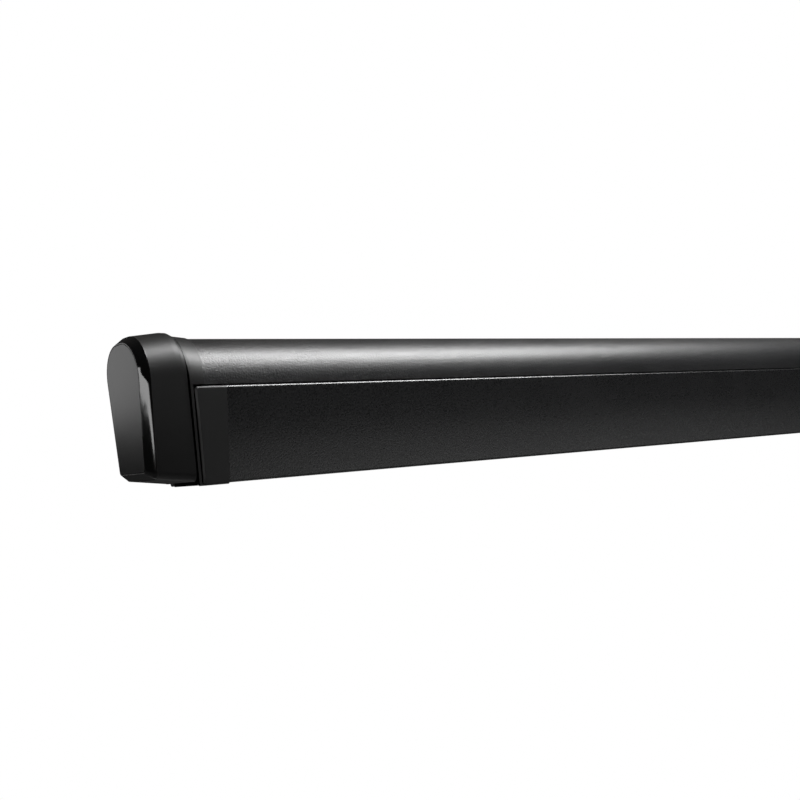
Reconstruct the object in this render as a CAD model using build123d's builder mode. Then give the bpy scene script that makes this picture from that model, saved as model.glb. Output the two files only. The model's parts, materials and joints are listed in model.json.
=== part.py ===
from build123d import *
import math
import os

# Roll out awning for a caravan or camper wall, closed as in travel.
# X runs along the awning, +Y points into the wall it hangs on, +Z is up.
# The origin is the middle of the centre wall bracket's back face.
# In every cross-section u is the distance out from the wall and v the height.

# Overall sizes
case_length = 2600.0
case_height = 149.0
case_depth = 88.0
wall = 2.2
bracket_plate = 5.0
overrun = 20.0

# Cross-section of the case extrusion
top_back_radius = 34.0
top_front_radius = 48.0
low_corner_radius = 4.0
nose_height = 50.9
nose_gap = 1.1
seal_height = 0.6
seal_width = 5.0
floor_depth = 58.0
recess_depth = 7.0
recess_low = 52.0
recess_top_inset = 49.0
boss_radius = 4.2
boss_bore = 2.1
boss_sink = 0.6
edge_radius = 0.9

# Slanted moulded ends, measured from the lead rail's end going outward
end_slope_share = 0.073
cap_foot_shrink_share = 0.6
rail_cap_length = 30.0
rail_cap_gap = 1.8
rail_cap_edge = 2.0
rail_cap_drop = 1.2
band_length = 3.5
collar_end_gap = 24.0
seam_offset = 40.0
bevel_offset = 80.0
bevel_depth = 9.0
bevel_width = 6.5
bevel_back_width = 5.0
cap_wall = 2.6
cap_top_rise = 6.3
cap_top_fall = 4.8
cap_front_rise = 1.5
cap_low_rise = 3.0
cap_belly_lift = 5.5
crown_offset = 50.0
shoulder_offset = 44.5
shoulder_drop = 0.8
plate_top_rise = 3.0
plate_lip_inset = 22.0
plate_drop = 0.4
cap_front_radius = 40.0
cap_back_radius = 41.0
cap_heel_radius = 4.0
cap_toe_radius = 9.0
cap_foot_tuck = 5.0
cap_front_flare = 2.0
panel_thickness = 2.4
groove_width = 0.7
seam_gap = 0.6
sleeve_gap = 0.3
collar_wall = 3.0
collar_grip = 3.5
screw_head_radius = 2.7
screw_head_height = 1.6
screw_sink = 0.5
screw_shank_radius = 1.8
screw_length = 16.0

collar_lip = 1.2
low_post_inset = 22.0
low_post_level = 32.0
high_post_inset = 70.0
high_post_top_inset = 33.0
post_radius = 4.5
hub_radius = 10.0
hub_length = 8.0

# Lead rail
rail_lean = 10.0
rail_bulge = 1.6
rail_depth = 26.0
rail_wall = 2.0
rail_top_radius = 3.0
rail_foot_radius = 3.0

# Roller and canopy
roller_radius = 19.0
roller_wall = 1.6
wound_radius = 27.0
canopy_thickness = 0.55
roller_from_wall = 42.0
roll_lift = 5.1
keder_radius = 2.6
keder_wall = 1.3
keder_slit = 1.6
stub_radius = 6.0
stub_clear = 0.05
wound_end_gap = 6.0

# Gearbox
wheel_radius = 15.0
wheel_teeth = 24
wheel_width = 7.0
wheel_inset = 50.0
tooth_depth = 2.2
tooth_gap = 2.3
worm_radius = 5.2
worm_core = 3.2
gear_clear = 0.6
gearbox_room = 1.2
gearbox_wall = 2.5
worm_above = 14.0
crank_hole = 5.5
crank_eye_radius = 9.0
crank_eye_wire = 2.6
crank_drop = 12.0

# Folding arms
arm_middle_gap = 85.0
arm_fold = 13.5
arm_height = 40.0
arm_thickness = 18.0
knuckle_cheek = 6.0
knuckle_radius = 11.0
small_knuckle_radius = 9.5
open_clear = 0.5
arm_wall = 2.0
arm_level = 35.0
arm_corner = 5.0
shoulder_from_wall = 30.0
shoulder_from_rail_end = 66.0
joint_clear = 0.6
pin_radius = 5.0
pin_clear = 0.05
pin_head_radius = 8.0
pin_head_height = 2.5
ear_thickness = 5.0
tongue_height = 18.0
knuckle_plug = 34.0
knuckle_reach = 30.0
plug_clear = 0.3
spring_radius = 6.0
spring_length = 420.0
tie_radius = 1.8

# Support legs stowed in the lead rail
leg_tube = 10.4
leg_tube_height = 20.0
leg_wall = 1.4
leg_length = 1010.0
leg_inner_clear = 0.4
leg_wall_gap = 0.6
leg_lane_low = 24.0
leg_lane_top_inset = 35.0
leg_pivot_inset = 26.0
leg_pin_radius = 3.0
leg_corner = 3.0
foot_length = 46.0
foot_width = 7.0
foot_thickness = 4.0
foot_eye = 5.0
collar_length = 30.0
collar_skin = 0.5
lever_length = 34.0
lever_thickness = 3.0
lever_eye = 3.5
lever_pin_radius = 1.5

# Roller ends
plug_length = 30.0
plug_flange = 3.0

# Wall brackets
bracket_width = 110.0
bracket_inset = 226.0
bracket_low = 14.0
bracket_top_inset = 31.0
hook_height = 9.0
bolt_spacing = 70.0
bolt_hole_radius = 3.3

# Places worked out from the sizes
floor_v = -case_height / 2
roof_v = floor_v + case_height
# Levels above the case's floor that follow its height
nose_level = case_height - nose_height
rail_height = nose_level - nose_gap
recess_high = case_height - recess_top_inset
high_post_level = case_height - high_post_top_inset
bracket_high = case_height - bracket_top_inset
leg_lane_high = rail_height - leg_lane_top_inset
# The roll sits in the room between the arms and the roof, a little above its middle
roller_level = (arm_level + arm_height / 2 + case_height - wall) / 2 + roll_lift
back_u = bracket_plate
nose_u = back_u + case_depth
rail_top_v = floor_v + rail_height
rail_front_u = nose_u + rail_bulge
rail_back_u = rail_front_u - rail_depth
tilt = math.atan(end_slope_share)
# The moulded ends lean, so their top corner sets the overall length
panel_offset = bevel_offset + bevel_depth
rail_end_x = case_length / 2 - panel_offset - end_slope_share * (roof_v - rail_top_v)
case_end_x = rail_end_x + collar_end_gap + collar_grip
pivot_x = rail_end_x - shoulder_from_rail_end
arm_reach = pivot_x - knuckle_radius - arm_middle_gap
bracket_spacing = rail_end_x - bracket_inset
arm_v = floor_v + arm_level
elbow_u = shoulder_from_wall + arm_fold
wrist_u = shoulder_from_wall + 2 * arm_fold


def section(x):
    """Upright plane across the awning: its own x is u, its own y is v."""
    return Plane(origin=(x, 0, 0), x_dir=(0, -1, 0), z_dir=(-1, 0, 0))


def slanted(outward):
    """Plane of the leaning left end, this far outboard of the rail's end at the rail's top."""
    x = -(rail_end_x + outward) + end_slope_share * rail_top_v
    return Plane(
        origin=(x, 0, 0),
        x_dir=(0, -1, 0),
        z_dir=(-math.cos(tilt), 0, -math.sin(tilt)),
    )


def level(v):
    """Level plane at height v, with x along the awning and y towards the wall."""
    return Plane.XY.offset(v)


def save(piece, name):
    piece.part.label = name
    export_step(piece.part, f"parts/{name}.step")
    return piece


def save_pair(piece, name):
    """Write a left-hand piece and its mirror image on the right."""
    save(piece, f"{name}_left")
    with BuildPart() as twin:
        mirror(piece.part, about=Plane.YZ)
    save(twin, f"{name}_right")
    return twin


def rounded_case(back, front, low, high, foot_front, back_radius, front_radius, heel_radius, toe_radius):
    """Outline of the case: upright back, leaning front, two large top arcs, small heel and toe arcs."""
    height = high - low
    corner = foot_front + (front - foot_front) * height / (height - front_radius)
    with BuildSketch() as outline:
        with BuildLine():
            Polyline((back, low), (back, high), (corner, high), (foot_front, low), close=True)
        make_face()
        fillet(outline.vertices().group_by(Axis.Y)[-1].sort_by(Axis.X)[0], back_radius)
        fillet(outline.vertices().group_by(Axis.Y)[-1].sort_by(Axis.X)[-1], front_radius)
        fillet(outline.vertices().group_by(Axis.Y)[0].sort_by(Axis.X)[0], heel_radius)
        fillet(outline.vertices().group_by(Axis.Y)[0].sort_by(Axis.X)[-1], toe_radius)
    return outline.sketch


# Outlines of the case extrusion and, shrunk or grown from it, of the moulded ends
foot_u = nose_u - rail_lean
case_outline = rounded_case(
    back_u, nose_u, floor_v, roof_v, foot_u,
    top_back_radius, top_front_radius, low_corner_radius, low_corner_radius,
)
cap_low_v = floor_v + cap_low_rise
cap_top_v = roof_v + cap_top_rise
cap_front_u = nose_u + cap_front_rise


def cap_outline(shrink, outward, crown_drop=0):
    """Moulded end outline this far outboard: its belly lifts and its top falls towards the bevel."""
    flare_share = (outward - seam_offset) / (bevel_offset - seam_offset)
    return rounded_case(
        back_u + shrink,
        cap_front_u + cap_front_flare * flare_share - shrink,
        cap_low_v + cap_belly_lift * flare_share + shrink,
        cap_top_v - cap_top_fall * flare_share - crown_drop - shrink,
        cap_front_u - rail_lean - cap_foot_tuck * flare_share - shrink,
        cap_back_radius - shrink,
        cap_front_radius - shrink,
        cap_heel_radius - shrink * cap_foot_shrink_share,
        cap_toe_radius - shrink * cap_foot_shrink_share,
    )


def face_outline(shrink):
    """Flat side face inside the bevel, which is narrower at the wall side."""
    return rounded_case(
        back_u + bevel_back_width + shrink,
        cap_front_u + cap_front_flare - bevel_width - shrink,
        cap_low_v + cap_belly_lift + bevel_width + shrink,
        cap_top_v - cap_top_fall - bevel_width - shrink,
        cap_front_u - rail_lean - cap_foot_tuck - bevel_width - shrink,
        cap_back_radius - bevel_back_width - shrink,
        cap_front_radius - bevel_width - shrink,
        cap_heel_radius - shrink,
        cap_toe_radius - bevel_width * cap_foot_shrink_share - shrink,
    )


def slab(u_low, u_high, v_low, v_high, mode=Mode.ADD):
    """Rectangle between two distances from the wall and two heights."""
    with Locations(((u_low + u_high) / 2, (v_low + v_high) / 2)):
        Rectangle(u_high - u_low, v_high - v_low, mode=mode)


os.makedirs("parts", exist_ok=True)

# Case extrusion: back, roof and nose in one wall, open ahead for the rail and the arms
channel_u = back_u + recess_depth
channel_low_v = floor_v + recess_low
channel_high_v = floor_v + recess_high
boss_reach = boss_radius - boss_sink
nose_boss = (nose_u - wall - boss_reach, floor_v + nose_level + boss_radius)
floor_boss = (back_u + floor_depth - boss_radius, floor_v + wall + boss_reach)
back_boss = (back_u + wall + boss_reach, floor_v + wall + boss_reach)
bosses = (nose_boss, floor_boss, back_boss)
with BuildPart() as case_extrusion:
    with BuildSketch(section(0)):
        add(case_outline)
        offset(case_outline, amount=-wall, mode=Mode.SUBTRACT)
        slab(back_u, channel_u + wall, channel_low_v - wall, channel_high_v + wall)
        slab(back_u - overrun, channel_u, channel_low_v, channel_high_v, Mode.SUBTRACT)
        slab(back_u + floor_depth, nose_u + overrun, floor_v - overrun, floor_v + nose_level, Mode.SUBTRACT)
        with Locations(*bosses):
            Circle(boss_radius)
            Circle(boss_bore, mode=Mode.SUBTRACT)
    extrude(amount=case_end_x, both=True)
save(case_extrusion, "case_extrusion")

# Soft seal clipped under the nose, against which the lead rail closes
with BuildPart() as nose_seal:
    with BuildSketch(section(0)):
        nose_v = floor_v + nose_level
        slab(nose_u - wall - seal_width / 2, nose_u - edge_radius, nose_v - seal_height, nose_v)
    extrude(amount=rail_end_x, both=True)

# Wall brackets: a plate behind the case, a foot and a hook in the channel of the case's back
with BuildPart() as bracket:
    with BuildSketch(section(0)):
        slab(0, back_u, floor_v + bracket_low, floor_v + bracket_high)
        for hook_v in (channel_low_v + sleeve_gap, channel_high_v - sleeve_gap - hook_height):
            slab(0, channel_u - sleeve_gap, hook_v, hook_v + hook_height)
    extrude(amount=bracket_width / 2, both=True)
    with Locations(Plane(origin=(0, -back_u, 0), x_dir=(1, 0, 0), z_dir=(0, -1, 0))):
        with GridLocations(bolt_spacing, 0, 2, 1):
            Hole(bolt_hole_radius)
bracket_places = {"left": -bracket_spacing, "centre": 0, "right": bracket_spacing}
for place, bracket_x in bracket_places.items():
    with BuildPart() as placed:
        add(bracket.part.moved(Location((bracket_x, 0, 0))))
    save(placed, f"wall_bracket_{place}")

save(nose_seal, "nose_seal")


# Moulded end plate: closes the case, sleeves over it and carries the roller
plate_in = seam_offset - band_length
cap_screw_seat = panel_offset - panel_thickness - screw_head_height - sleeve_gap
screw_plane = slanted(cap_screw_seat)
post_end = cap_screw_seat - bevel_offset + sleeve_gap
collar_outline = rounded_case(
    back_u, nose_u + collar_lip, floor_v - sleeve_gap, roof_v + collar_lip, foot_u + collar_lip,
    top_back_radius + collar_lip, top_front_radius + collar_lip, low_corner_radius, low_corner_radius,
)
hub = (roller_from_wall, floor_v + roller_level)
low_post = (back_u + low_post_inset, floor_v + low_post_level)
high_post = (back_u + high_post_inset, floor_v + high_post_level)
plate_outline = rounded_case(
    back_u, cap_front_u, cap_low_v, roof_v + plate_top_rise, cap_front_u - rail_lean,
    top_back_radius + plate_top_rise, top_front_radius, cap_heel_radius, low_corner_radius,
)


def screw_seat_x(v):
    """Distance from the middle to a plate screw's seat, sunk in the leaning plate at height v."""
    return rail_end_x + seam_offset + end_slope_share * (v - rail_top_v) - screw_head_height - screw_sink


with BuildPart() as end_plate:
    with BuildSketch(section(-rail_end_x - collar_end_gap)):
        add(collar_outline)
    with BuildSketch(slanted(plate_in)):
        add(plate_outline)
    loft(ruled=True)
    with BuildSketch(section(-rail_end_x + overrun)):
        slab(-overrun, nose_u + overrun, floor_v - overrun, floor_v + nose_level)
    extrude(amount=2 * overrun + seam_offset, mode=Mode.SUBTRACT)
    with BuildSketch(section(-rail_end_x + overrun)):
        add(case_outline)
        offset(case_outline, amount=sleeve_gap)
        slab(back_u - overrun, hub[0], floor_v, roof_v - collar_wall)
    extrude(amount=overrun + collar_end_gap + collar_grip + sleeve_gap, mode=Mode.SUBTRACT)
    with BuildSketch(slanted(plate_in)):
        add(plate_outline)
        slab(back_u + plate_lip_inset, cap_front_u - rail_lean, floor_v - plate_drop, cap_low_v + low_corner_radius)
    extrude(amount=band_length)
    # Hub for the roller's stub and two posts for the cap's screws
    with BuildSketch(section(-case_end_x - sleeve_gap)):
        with Locations(hub):
            Circle(hub_radius)
    extrude(amount=hub_length)
    with BuildSketch(screw_plane.offset(-post_end)):
        with Locations(low_post, high_post):
            Circle(post_radius)
    extrude(amount=seam_offset - bevel_offset)
    with BuildSketch(screw_plane):
        with Locations(low_post, high_post):
            Circle(screw_shank_radius)
    extrude(amount=-post_end - screw_length, mode=Mode.SUBTRACT)
    with BuildSketch(section(-rail_end_x)):
        with Locations(hub):
            Circle(stub_radius + stub_clear)
    extrude(amount=bevel_offset, mode=Mode.SUBTRACT)
    # Screw holes into the case's bosses, with sunk seats for the heads
    with BuildSketch(section(-rail_end_x)):
        with Locations(*bosses):
            Circle(boss_bore + plug_clear)
    extrude(amount=bevel_offset, mode=Mode.SUBTRACT)
    for boss in bosses:
        with BuildSketch(section(-screw_seat_x(boss[1]))):
            with Locations(boss):
                Circle(screw_head_radius + sleeve_gap)
        extrude(amount=overrun, mode=Mode.SUBTRACT)
save_pair(end_plate, "end_plate")

# End cap: moulded shell that rounds up from the seam, swells, and ends in a bevel round its face
cap_rims = (
    (seam_offset + seam_gap, cap_top_rise - plate_top_rise),
    (shoulder_offset, shoulder_drop),
    (crown_offset, 0),
    (bevel_offset, 0),
)
cap_low_in = cap_low_v + cap_belly_lift + cap_wall
cap_high_in = roof_v + plate_top_rise - cap_wall
with BuildPart() as end_cap:
    for inner_rim, outer_rim in zip(cap_rims, cap_rims[1:]):
        with BuildSketch(slanted(inner_rim[0])):
            add(cap_outline(0, *inner_rim))
        with BuildSketch(slanted(outer_rim[0])):
            add(cap_outline(0, *outer_rim))
        loft(ruled=True)
    with BuildSketch(slanted(bevel_offset)):
        add(cap_outline(0, bevel_offset))
    with BuildSketch(slanted(panel_offset)):
        add(face_outline(0))
    loft(ruled=True)
    with BuildSketch(slanted(seam_offset)):
        add(rounded_case(
            back_u + cap_wall, cap_front_u - cap_wall, cap_low_in, cap_high_in,
            cap_front_u - rail_lean - cap_foot_tuck - cap_wall,
            cap_back_radius - cap_wall, cap_front_radius - cap_wall,
            cap_heel_radius - sleeve_gap, cap_toe_radius - cap_wall,
        ))
    extrude(amount=bevel_offset - seam_offset, mode=Mode.SUBTRACT)
    # Pocket for the side panel and holes for the screws behind it
    with BuildSketch(slanted(panel_offset - panel_thickness)):
        add(face_outline(groove_width))
    extrude(amount=overrun, mode=Mode.SUBTRACT)
    with BuildSketch(screw_plane):
        with Locations(low_post, high_post):
            Circle(screw_shank_radius)
    extrude(amount=overrun, both=True, mode=Mode.SUBTRACT)
    with BuildSketch(screw_plane):
        with Locations(low_post, high_post):
            Circle(screw_head_radius + sleeve_gap)
    extrude(amount=overrun, mode=Mode.SUBTRACT)
save(end_cap, "end_cap_left")

# Flat side panel clipped into the cap's pocket, a fine groove all round it
with BuildPart() as side_panel:
    with BuildSketch(slanted(panel_offset - panel_thickness)):
        add(face_outline(2 * groove_width))
    extrude(amount=panel_thickness)
save_pair(side_panel, "side_panel")

# Outline shared by the lead rail and its end caps: a leaning, slightly bulged front
rail_low_u = rail_front_u - rail_lean
rail_high_u = rail_front_u - rail_bulge / 2


def rail_profile(low_v):
    """Section of the lead rail's outside, standing on the given height."""
    with BuildSketch() as profile:
        with BuildLine():
            front = ThreePointArc(
                (rail_low_u, low_v),
                ((rail_low_u + rail_high_u) / 2 + rail_bulge, floor_v + rail_height / 2),
                (rail_high_u, rail_top_v),
            )
            Polyline(front @ 1, (rail_back_u, rail_top_v), (rail_back_u, low_v), front @ 0)
        make_face()
        fillet(profile.vertices().group_by(Axis.Y)[-1].sort_by(Axis.X)[-1], rail_top_radius)
        fillet(profile.vertices().group_by(Axis.Y)[0].sort_by(Axis.X)[-1], rail_foot_radius)
    return profile.sketch


rail_outline = rail_profile(floor_v)

# Lead rail: open below so that the legs can swing out, with a keder groove at its top
keder_u = rail_back_u + rail_wall + keder_radius
keder_v = rail_top_v - rail_wall - keder_radius
with BuildPart() as lead_rail:
    with BuildSketch(section(0)):
        add(rail_outline)
        offset(rail_outline, amount=-rail_wall, mode=Mode.SUBTRACT)
        slab(
            rail_back_u + rail_wall, rail_low_u - rail_wall,
            floor_v - overrun, floor_v + 2 * rail_wall, Mode.SUBTRACT,
        )
        with Locations((keder_u, keder_v)):
            Circle(keder_radius + keder_wall)
            Circle(keder_radius, mode=Mode.SUBTRACT)
        slit = keder_slit / 2
        slab(rail_back_u - overrun, keder_u, keder_v - slit, keder_v + slit, Mode.SUBTRACT)
    extrude(amount=rail_end_x, both=True)
save(lead_rail, "lead_rail")

# Lead rail end cap: square against the rail, leaning on its outer side
with BuildPart() as rail_cap:
    with BuildSketch(section(-rail_end_x)):
        add(rail_profile(floor_v - rail_cap_drop))
    extrude(amount=2 * rail_cap_length)
    split(bisect_by=slanted(plate_in - rail_cap_gap), keep=Keep.BOTTOM)
    chamfer(rail_cap.faces().sort_by(Axis.X)[0].edges(), rail_cap_edge)
save_pair(rail_cap, "lead_rail_cap")

# Canopy's edge rod in the rail's groove
with BuildPart() as rail_keder:
    with BuildSketch(section(0)):
        with Locations((keder_u, keder_v)):
            Circle(keder_radius - pin_clear)
    extrude(amount=rail_end_x - wound_end_gap, both=True)
save(rail_keder, "rail_keder_rod")


stack_height = tongue_height + 2 * (joint_clear + ear_thickness)


def knuckle_sketch(pivot, bar_u, inward, radius, grow):
    """Plan of an arm end: the eye at the pivot drawn out to the end of its bar."""
    with Locations((pivot[0], -pivot[1])):
        Circle(radius + grow)
    with Locations((pivot[0] + inward * (knuckle_reach + knuckle_cheek / 2), -bar_u)):
        Rectangle(knuckle_cheek + 2 * grow, arm_thickness + 2 * grow)
    make_hull()


def bar_outline(bar_u, shrink):
    with Locations((bar_u, arm_v)):
        RectangleRounded(arm_thickness - 2 * shrink, arm_height - 2 * shrink, arm_corner - shrink)


def arm_end(pivot, bar_u, inward, radius, height):
    """Solid of a cast arm end: the eye, a cheek as deep as the bar and a plug inside it."""
    cheek_x = pivot[0] + inward * knuckle_reach
    tube_x = cheek_x + inward * knuckle_cheek
    with BuildSketch(level(arm_v - height / 2)) as plan:
        knuckle_sketch(pivot, bar_u, inward, radius, 0)
    extrude(plan.sketch, amount=height)
    with BuildSketch(section(cheek_x)) as plan:
        bar_outline(bar_u, 0)
    extrude(plan.sketch, amount=-inward * knuckle_cheek)
    with BuildSketch(section(tube_x)) as plan:
        bar_outline(bar_u, arm_wall + plug_clear)
    extrude(plan.sketch, amount=-inward * knuckle_plug)


def bore(pivot, radius):
    with BuildSketch(level(arm_v - arm_height)) as plan:
        with Locations((pivot[0], -pivot[1])):
            Circle(radius)
    extrude(plan.sketch, amount=2 * arm_height, mode=Mode.SUBTRACT)


def tongue_slot(pivot, bar_u, inward, radius):
    """Room for the tongue that turns between two ears."""
    with BuildSketch(level(arm_v - tongue_height / 2 - joint_clear)) as plan:
        knuckle_sketch(pivot, bar_u, inward, radius, joint_clear)
    extrude(plan.sketch, amount=tongue_height + 2 * joint_clear, mode=Mode.SUBTRACT)


def arm_tube(bar_u):
    """Extruded bar between the cheeks of its two ends."""
    length = arm_reach - 2 * (knuckle_reach + knuckle_cheek)
    with BuildSketch(section(shoulder[0] + knuckle_reach + knuckle_cheek)) as plan:
        bar_outline(bar_u, 0)
        bar_outline_inside(bar_u)
    extrude(plan.sketch, amount=-length)


def bar_outline_inside(bar_u):
    with Locations((bar_u, arm_v)):
        RectangleRounded(
            arm_thickness - 2 * arm_wall, arm_height - 2 * arm_wall, arm_corner - arm_wall, mode=Mode.SUBTRACT
        )


def pivot_pin(pivot):
    """Headed pin through both ears, with a retaining ring below."""
    with BuildSketch(level(arm_v - stack_height / 2 - pin_head_height)) as plan:
        with Locations((pivot[0], -pivot[1])):
            Circle(pin_radius)
    extrude(plan.sketch, amount=stack_height + pin_head_height)
    for ring_v in (arm_v - stack_height / 2 - pin_head_height, arm_v + stack_height / 2):
        with BuildSketch(level(ring_v)) as plan:
            with Locations((pivot[0], -pivot[1])):
                Circle(pin_head_radius)
        extrude(plan.sketch, amount=pin_head_height)


# Pivots of the left arm, folded: shoulder, elbow and wrist in plan
inner_u = shoulder_from_wall
outer_u = wrist_u
shoulder = (-pivot_x, inner_u)
elbow = (-pivot_x + arm_reach, elbow_u)
wrist = (-pivot_x, outer_u)

# Shoulder brackets, screwed to the case's back, and their pins
case_inner_u = back_u + wall
with BuildPart() as shoulder_bracket:
    with BuildSketch(level(arm_v - stack_height / 2)):
        with Locations((shoulder[0], -shoulder[1])):
            Circle(knuckle_radius)
        with Locations((shoulder[0], -(case_inner_u + ear_thickness / 2))):
            Rectangle(4 * knuckle_radius, ear_thickness)
        make_hull()
    extrude(amount=stack_height)
    with BuildSketch(level(arm_v - tongue_height / 2 - joint_clear)):
        with Locations((shoulder[0], -(shoulder[1] - knuckle_radius - joint_clear + overrun))):
            Rectangle(6 * knuckle_radius, 2 * overrun)
    extrude(amount=tongue_height + 2 * joint_clear, mode=Mode.SUBTRACT)
    bore(shoulder, pin_radius + pin_clear)
save_pair(shoulder_bracket, "shoulder_bracket")

with BuildPart() as shoulder_pins:
    pivot_pin(shoulder)
    pivot_pin((pivot_x, inner_u))
save(shoulder_pins, "shoulder_pins")

# Inner arms: shoulder knuckle, tube, forked elbow and the closing spring inside
with BuildPart() as shoulder_knuckle:
    arm_end(shoulder, inner_u, 1, knuckle_radius, tongue_height)
    bore(shoulder, pin_radius + pin_clear)
save_pair(shoulder_knuckle, "shoulder_knuckle")

with BuildPart() as inner_arm:
    arm_tube(inner_u)
save_pair(inner_arm, "inner_arm_tube")

with BuildPart() as elbow_fork:
    arm_end(elbow, inner_u, -1, knuckle_radius, stack_height)
    tongue_slot(elbow, outer_u, -1, knuckle_radius)
    bore(elbow, pin_radius + pin_clear)
save_pair(elbow_fork, "elbow_fork")

with BuildPart() as elbow_pin:
    pivot_pin(elbow)
save_pair(elbow_pin, "elbow_pin")

spring_start_x = shoulder[0] + knuckle_reach + knuckle_cheek + knuckle_plug
spring_run = arm_reach - 2 * (knuckle_reach + knuckle_cheek + knuckle_plug)
with BuildPart() as arm_spring:
    with BuildSketch(section(spring_start_x)):
        with Locations((inner_u, arm_v)):
            Circle(tie_radius)
    extrude(amount=-spring_run)
    with BuildSketch(section(spring_start_x + (spring_run - spring_length) / 2)):
        with Locations((inner_u, arm_v)):
            Circle(spring_radius)
    extrude(amount=-spring_length)
save_pair(arm_spring, "arm_spring")

# Outer arms: elbow tongue, tube and wrist tongue
with BuildPart() as elbow_tongue:
    arm_end(elbow, outer_u, -1, knuckle_radius, tongue_height)
    bore(elbow, pin_radius + pin_clear)
save_pair(elbow_tongue, "elbow_tongue")

with BuildPart() as outer_arm:
    arm_tube(outer_u)
save_pair(outer_arm, "outer_arm_tube")

# The left wrist turns closely on its pin, the right one floats a little on its own
for side, inward, clear in (("left", 1, pin_clear), ("right", -1, open_clear)):
    side_wrist = (inward * wrist[0], outer_u)
    with BuildPart() as wrist_tongue:
        arm_end(side_wrist, outer_u, inward, small_knuckle_radius, tongue_height)
        bore(side_wrist, pin_radius + clear)
    save(wrist_tongue, f"wrist_tongue_{side}")

# Wrist brackets on the back of the lead rail, and their pins
with BuildPart() as wrist_bracket:
    with BuildSketch(level(arm_v - stack_height / 2)):
        with Locations((wrist[0], -wrist[1])):
            Circle(small_knuckle_radius)
        with Locations((wrist[0], -(rail_back_u - rail_wall / 2))):
            Rectangle(4 * small_knuckle_radius, rail_wall)
        make_hull()
    extrude(amount=stack_height)
    tongue_slot(wrist, outer_u, 1, small_knuckle_radius)
    bore(wrist, pin_radius + pin_clear)
save_pair(wrist_bracket, "wrist_bracket")

with BuildPart() as wrist_pins:
    pivot_pin(wrist)
    pivot_pin((pivot_x, outer_u))
save(wrist_pins, "wrist_pins")

# Roller: grooved tube, end plugs with stub shafts, and the canopy wound on it
tube_end_x = case_end_x - wound_end_gap
roller_keder_v = hub[1] + roller_radius - keder_radius - keder_wall
with BuildPart() as roller_tube:
    with BuildSketch(section(0)):
        with Locations(hub):
            Circle(roller_radius)
            Circle(roller_radius - roller_wall, mode=Mode.SUBTRACT)
        with Locations((hub[0], roller_keder_v)):
            Circle(keder_radius + keder_wall)
            Circle(keder_radius, mode=Mode.SUBTRACT)
        slab(hub[0] - slit, hub[0] + slit, roller_keder_v, hub[1] + roller_radius + overrun, Mode.SUBTRACT)
    extrude(amount=tube_end_x, both=True)
save(roller_tube, "roller_tube")

canopy_end_x = rail_end_x - wound_end_gap
with BuildPart() as roller_keder:
    with BuildSketch(section(0)):
        with Locations((hub[0], roller_keder_v)):
            Circle(keder_radius - pin_clear)
    extrude(amount=canopy_end_x, both=True)
save(roller_keder, "roller_keder_rod")

with BuildPart() as wound_canopy:
    with BuildSketch(section(0)):
        with Locations(hub):
            Circle(wound_radius)
            Circle(roller_radius + stub_clear, mode=Mode.SUBTRACT)
    extrude(amount=canopy_end_x, both=True)
save(wound_canopy, "wound_canopy")


def roller_plug(stub_end):
    """Plug pressed in the tube's end: body, flange and a stub shaft out to stub_end."""
    with BuildSketch(section(-tube_end_x + plug_length)) as body:
        with Locations(hub):
            Circle(roller_radius - roller_wall - stub_clear)
        with Locations((hub[0], roller_keder_v)):
            Circle(keder_radius + keder_wall + plug_clear, mode=Mode.SUBTRACT)
    extrude(body.sketch, amount=plug_length)
    with BuildSketch(section(-tube_end_x)) as flange:
        with Locations(hub):
            Circle(roller_radius)
    extrude(flange.sketch, amount=plug_flange)
    with BuildSketch(section(-tube_end_x)) as stub:
        with Locations(hub):
            Circle(stub_radius)
    extrude(stub.sketch, amount=stub_end - tube_end_x)


idler_end_x = rail_end_x + seam_offset
drive_end_x = rail_end_x + wheel_inset + wheel_width + gearbox_room / 2
with BuildPart() as idler_plug:
    roller_plug(idler_end_x)
save(idler_plug, "roller_plug_idler")

with BuildPart() as mirrored_plug:
    roller_plug(drive_end_x)
with BuildPart() as drive_plug:
    mirror(mirrored_plug.part, about=Plane.YZ)
save(drive_plug, "roller_plug_drive")

# Canopy's front edge, from the wound roll's underside to the rail's groove
leader_radius = wound_radius + canopy_thickness / 2 + sleeve_gap
reach_u = rail_back_u - sleeve_gap - hub[0]
reach_v = keder_v - hub[1]
reach = math.hypot(reach_u, reach_v)
touch_angle = math.atan2(reach_v, reach_u) - math.acos(leader_radius / reach)
touch = (
    hub[0] + leader_radius * math.cos(touch_angle),
    hub[1] + leader_radius * math.sin(touch_angle),
)
with BuildPart() as canopy_leader:
    with BuildSketch(section(0)) as strip:
        with BuildLine() as strip_line:
            Line(touch, (rail_back_u - sleeve_gap, keder_v))
        trace(strip_line.line, line_width=canopy_thickness)
    extrude(amount=canopy_end_x, both=True)
save(canopy_leader, "canopy_leader")

# Worm wheel on the drive stub
wheel_x = rail_end_x + wheel_inset
with BuildPart() as worm_wheel:
    with BuildSketch(section(wheel_x + wheel_width)):
        with Locations(hub):
            Circle(wheel_radius)
            Circle(stub_radius + stub_clear, mode=Mode.SUBTRACT)
            with PolarLocations(wheel_radius, wheel_teeth):
                Rectangle(2 * tooth_depth, tooth_gap, mode=Mode.SUBTRACT)
    extrude(amount=wheel_width)
save(worm_wheel, "worm_wheel")

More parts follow.
